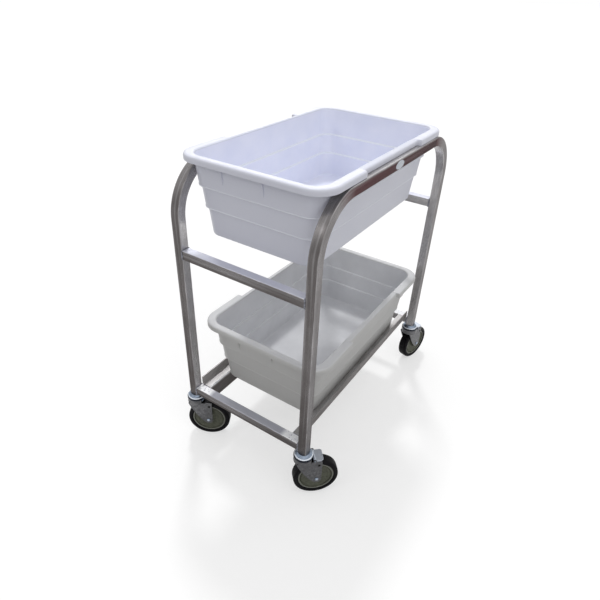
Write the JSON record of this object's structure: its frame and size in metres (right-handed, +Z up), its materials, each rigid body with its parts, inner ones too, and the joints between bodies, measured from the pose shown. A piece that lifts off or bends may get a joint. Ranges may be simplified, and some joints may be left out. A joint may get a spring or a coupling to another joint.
{
  "type": "tub rack cart",
  "caption": "Welded square-tube cart on swivel casters with a tub hung from its top rails and a second tub on its low runners.",
  "frame": {"origin": "on the floor under the middle of the whole cart's box, casters included", "axes": "+Z up, +Y along the cart from its near end to its far end, +X across it to the side with the blank oval label"},
  "size_m": [0.5414, 0.8422, 0.8727],
  "materials": {
    "satin_aluminium": "satin",
    "white_polyethylene": "moulded, semi-matte",
    "grey_polyethylene": "moulded, semi-matte",
    "blank_label": "gloss",
    "zinc_plate": "bright zinc plate",
    "black_rubber": "matte",
    "olive_nylon": "moulded"
  },
  "bodies": {
    "frame": {"left_side_loop": "satin_aluminium", "right_side_loop": "satin_aluminium", "near_mid_rail": "satin_aluminium", "far_mid_rail": "satin_aluminium", "near_low_rail": "satin_aluminium", "far_low_rail": "satin_aluminium", "left_runner": "satin_aluminium", "right_runner": "satin_aluminium", "blank_label": "blank_label", "stem_near_left": "zinc_plate", "expander_near_left": "black_rubber", "upper_raceway_near_left": "zinc_plate", "stem_near_right": "zinc_plate", "expander_near_right": "black_rubber", "upper_raceway_near_right": "zinc_plate", "stem_far_right": "zinc_plate", "expander_far_right": "black_rubber", "upper_raceway_far_right": "zinc_plate", "stem_far_left": "zinc_plate", "expander_far_left": "black_rubber", "upper_raceway_far_left": "zinc_plate"},
    "swivel_near_left": {"fork_near_left": "zinc_plate", "lower_raceway_near_left": "zinc_plate", "bearing_ring_near_left": "zinc_plate", "axle_bolt_near_left": "zinc_plate", "axle_nut_near_left": "zinc_plate", "hub_bushing_near_left": "zinc_plate"},
    "wheel_near_left": {"wheel_core_near_left": "olive_nylon", "tyre_near_left": "black_rubber"},
    "swivel_near_right": {"fork_near_right": "zinc_plate", "lower_raceway_near_right": "zinc_plate", "bearing_ring_near_right": "zinc_plate", "axle_bolt_near_right": "zinc_plate", "axle_nut_near_right": "zinc_plate", "hub_bushing_near_right": "zinc_plate", "brake_pin_near_right": "zinc_plate"},
    "wheel_near_right": {"wheel_core_near_right": "olive_nylon", "tyre_near_right": "black_rubber"},
    "pedal_near_right": {"brake_pedal_near_right": "zinc_plate"},
    "swivel_far_right": {"fork_far_right": "zinc_plate", "lower_raceway_far_right": "zinc_plate", "bearing_ring_far_right": "zinc_plate", "axle_bolt_far_right": "zinc_plate", "axle_nut_far_right": "zinc_plate", "hub_bushing_far_right": "zinc_plate", "brake_pin_far_right": "zinc_plate"},
    "wheel_far_right": {"wheel_core_far_right": "olive_nylon", "tyre_far_right": "black_rubber"},
    "pedal_far_right": {"brake_pedal_far_right": "zinc_plate"},
    "swivel_far_left": {"fork_far_left": "zinc_plate", "lower_raceway_far_left": "zinc_plate", "bearing_ring_far_left": "zinc_plate", "axle_bolt_far_left": "zinc_plate", "axle_nut_far_left": "zinc_plate", "hub_bushing_far_left": "zinc_plate"},
    "wheel_far_left": {"wheel_core_far_left": "olive_nylon", "tyre_far_left": "black_rubber"},
    "upper_tub": {"upper_tub": "white_polyethylene"},
    "lower_tub": {"lower_tub": "grey_polyethylene"}
  },
  "joints": [
    {"name": "near_left_swivel", "type": "hinge", "parent": "frame", "child": "swivel_near_left", "pos_m": [-0.1918, -0.38686, 0.13246], "axis": [0, 0, 1], "continuous": true},
    {"name": "near_left_wheel_spin", "type": "hinge", "parent": "swivel_near_left", "child": "wheel_near_left", "pos_m": [-0.16137, -0.36958, 0.06296], "axis": [-0.4939, 0.8695, 0], "continuous": true},
    {"name": "near_right_swivel", "type": "hinge", "parent": "frame", "child": "swivel_near_right", "pos_m": [0.1918, -0.38686, 0.13246], "axis": [0, 0, 1], "continuous": true},
    {"name": "near_right_wheel_spin", "type": "hinge", "parent": "swivel_near_right", "child": "wheel_near_right", "pos_m": [0.2171, -0.36268, 0.06296], "axis": [-0.6909, 0.723, 0], "continuous": true},
    {"name": "near_right_brake_press", "type": "hinge", "parent": "swivel_near_right", "child": "pedal_near_right", "pos_m": [0.21168, -0.36786, 0.13546], "axis": [-0.6909, 0.723, 0], "range_deg": [0, 18]},
    {"name": "far_right_swivel", "type": "hinge", "parent": "frame", "child": "swivel_far_right", "pos_m": [0.1918, 0.32374, 0.13246], "axis": [0, 0, 1], "continuous": true},
    {"name": "far_right_wheel_spin", "type": "hinge", "parent": "swivel_far_right", "child": "wheel_far_right", "pos_m": [0.19997, 0.35777, 0.06296], "axis": [-0.9724, 0.2334, 0], "continuous": true},
    {"name": "far_right_brake_press", "type": "hinge", "parent": "swivel_far_right", "child": "pedal_far_right", "pos_m": [0.19822, 0.35048, 0.13546], "axis": [-0.9724, 0.2334, 0], "range_deg": [0, 18]},
    {"name": "far_left_swivel", "type": "hinge", "parent": "frame", "child": "swivel_far_left", "pos_m": [-0.1918, 0.32374, 0.13246], "axis": [0, 0, 1], "continuous": true},
    {"name": "far_left_wheel_spin", "type": "hinge", "parent": "swivel_far_left", "child": "wheel_far_left", "pos_m": [-0.2171, 0.34792, 0.06296], "axis": [-0.6909, -0.723, 0], "continuous": true},
    {"name": "upper_tub_lift", "type": "slide", "parent": "frame", "child": "upper_tub", "axis": [0, 0, 1], "range_m": [0, 0.25]},
    {"name": "lower_tub_lift", "type": "slide", "parent": "frame", "child": "lower_tub", "axis": [0, 0, 1], "range_m": [0, 0.15]}
  ]
}
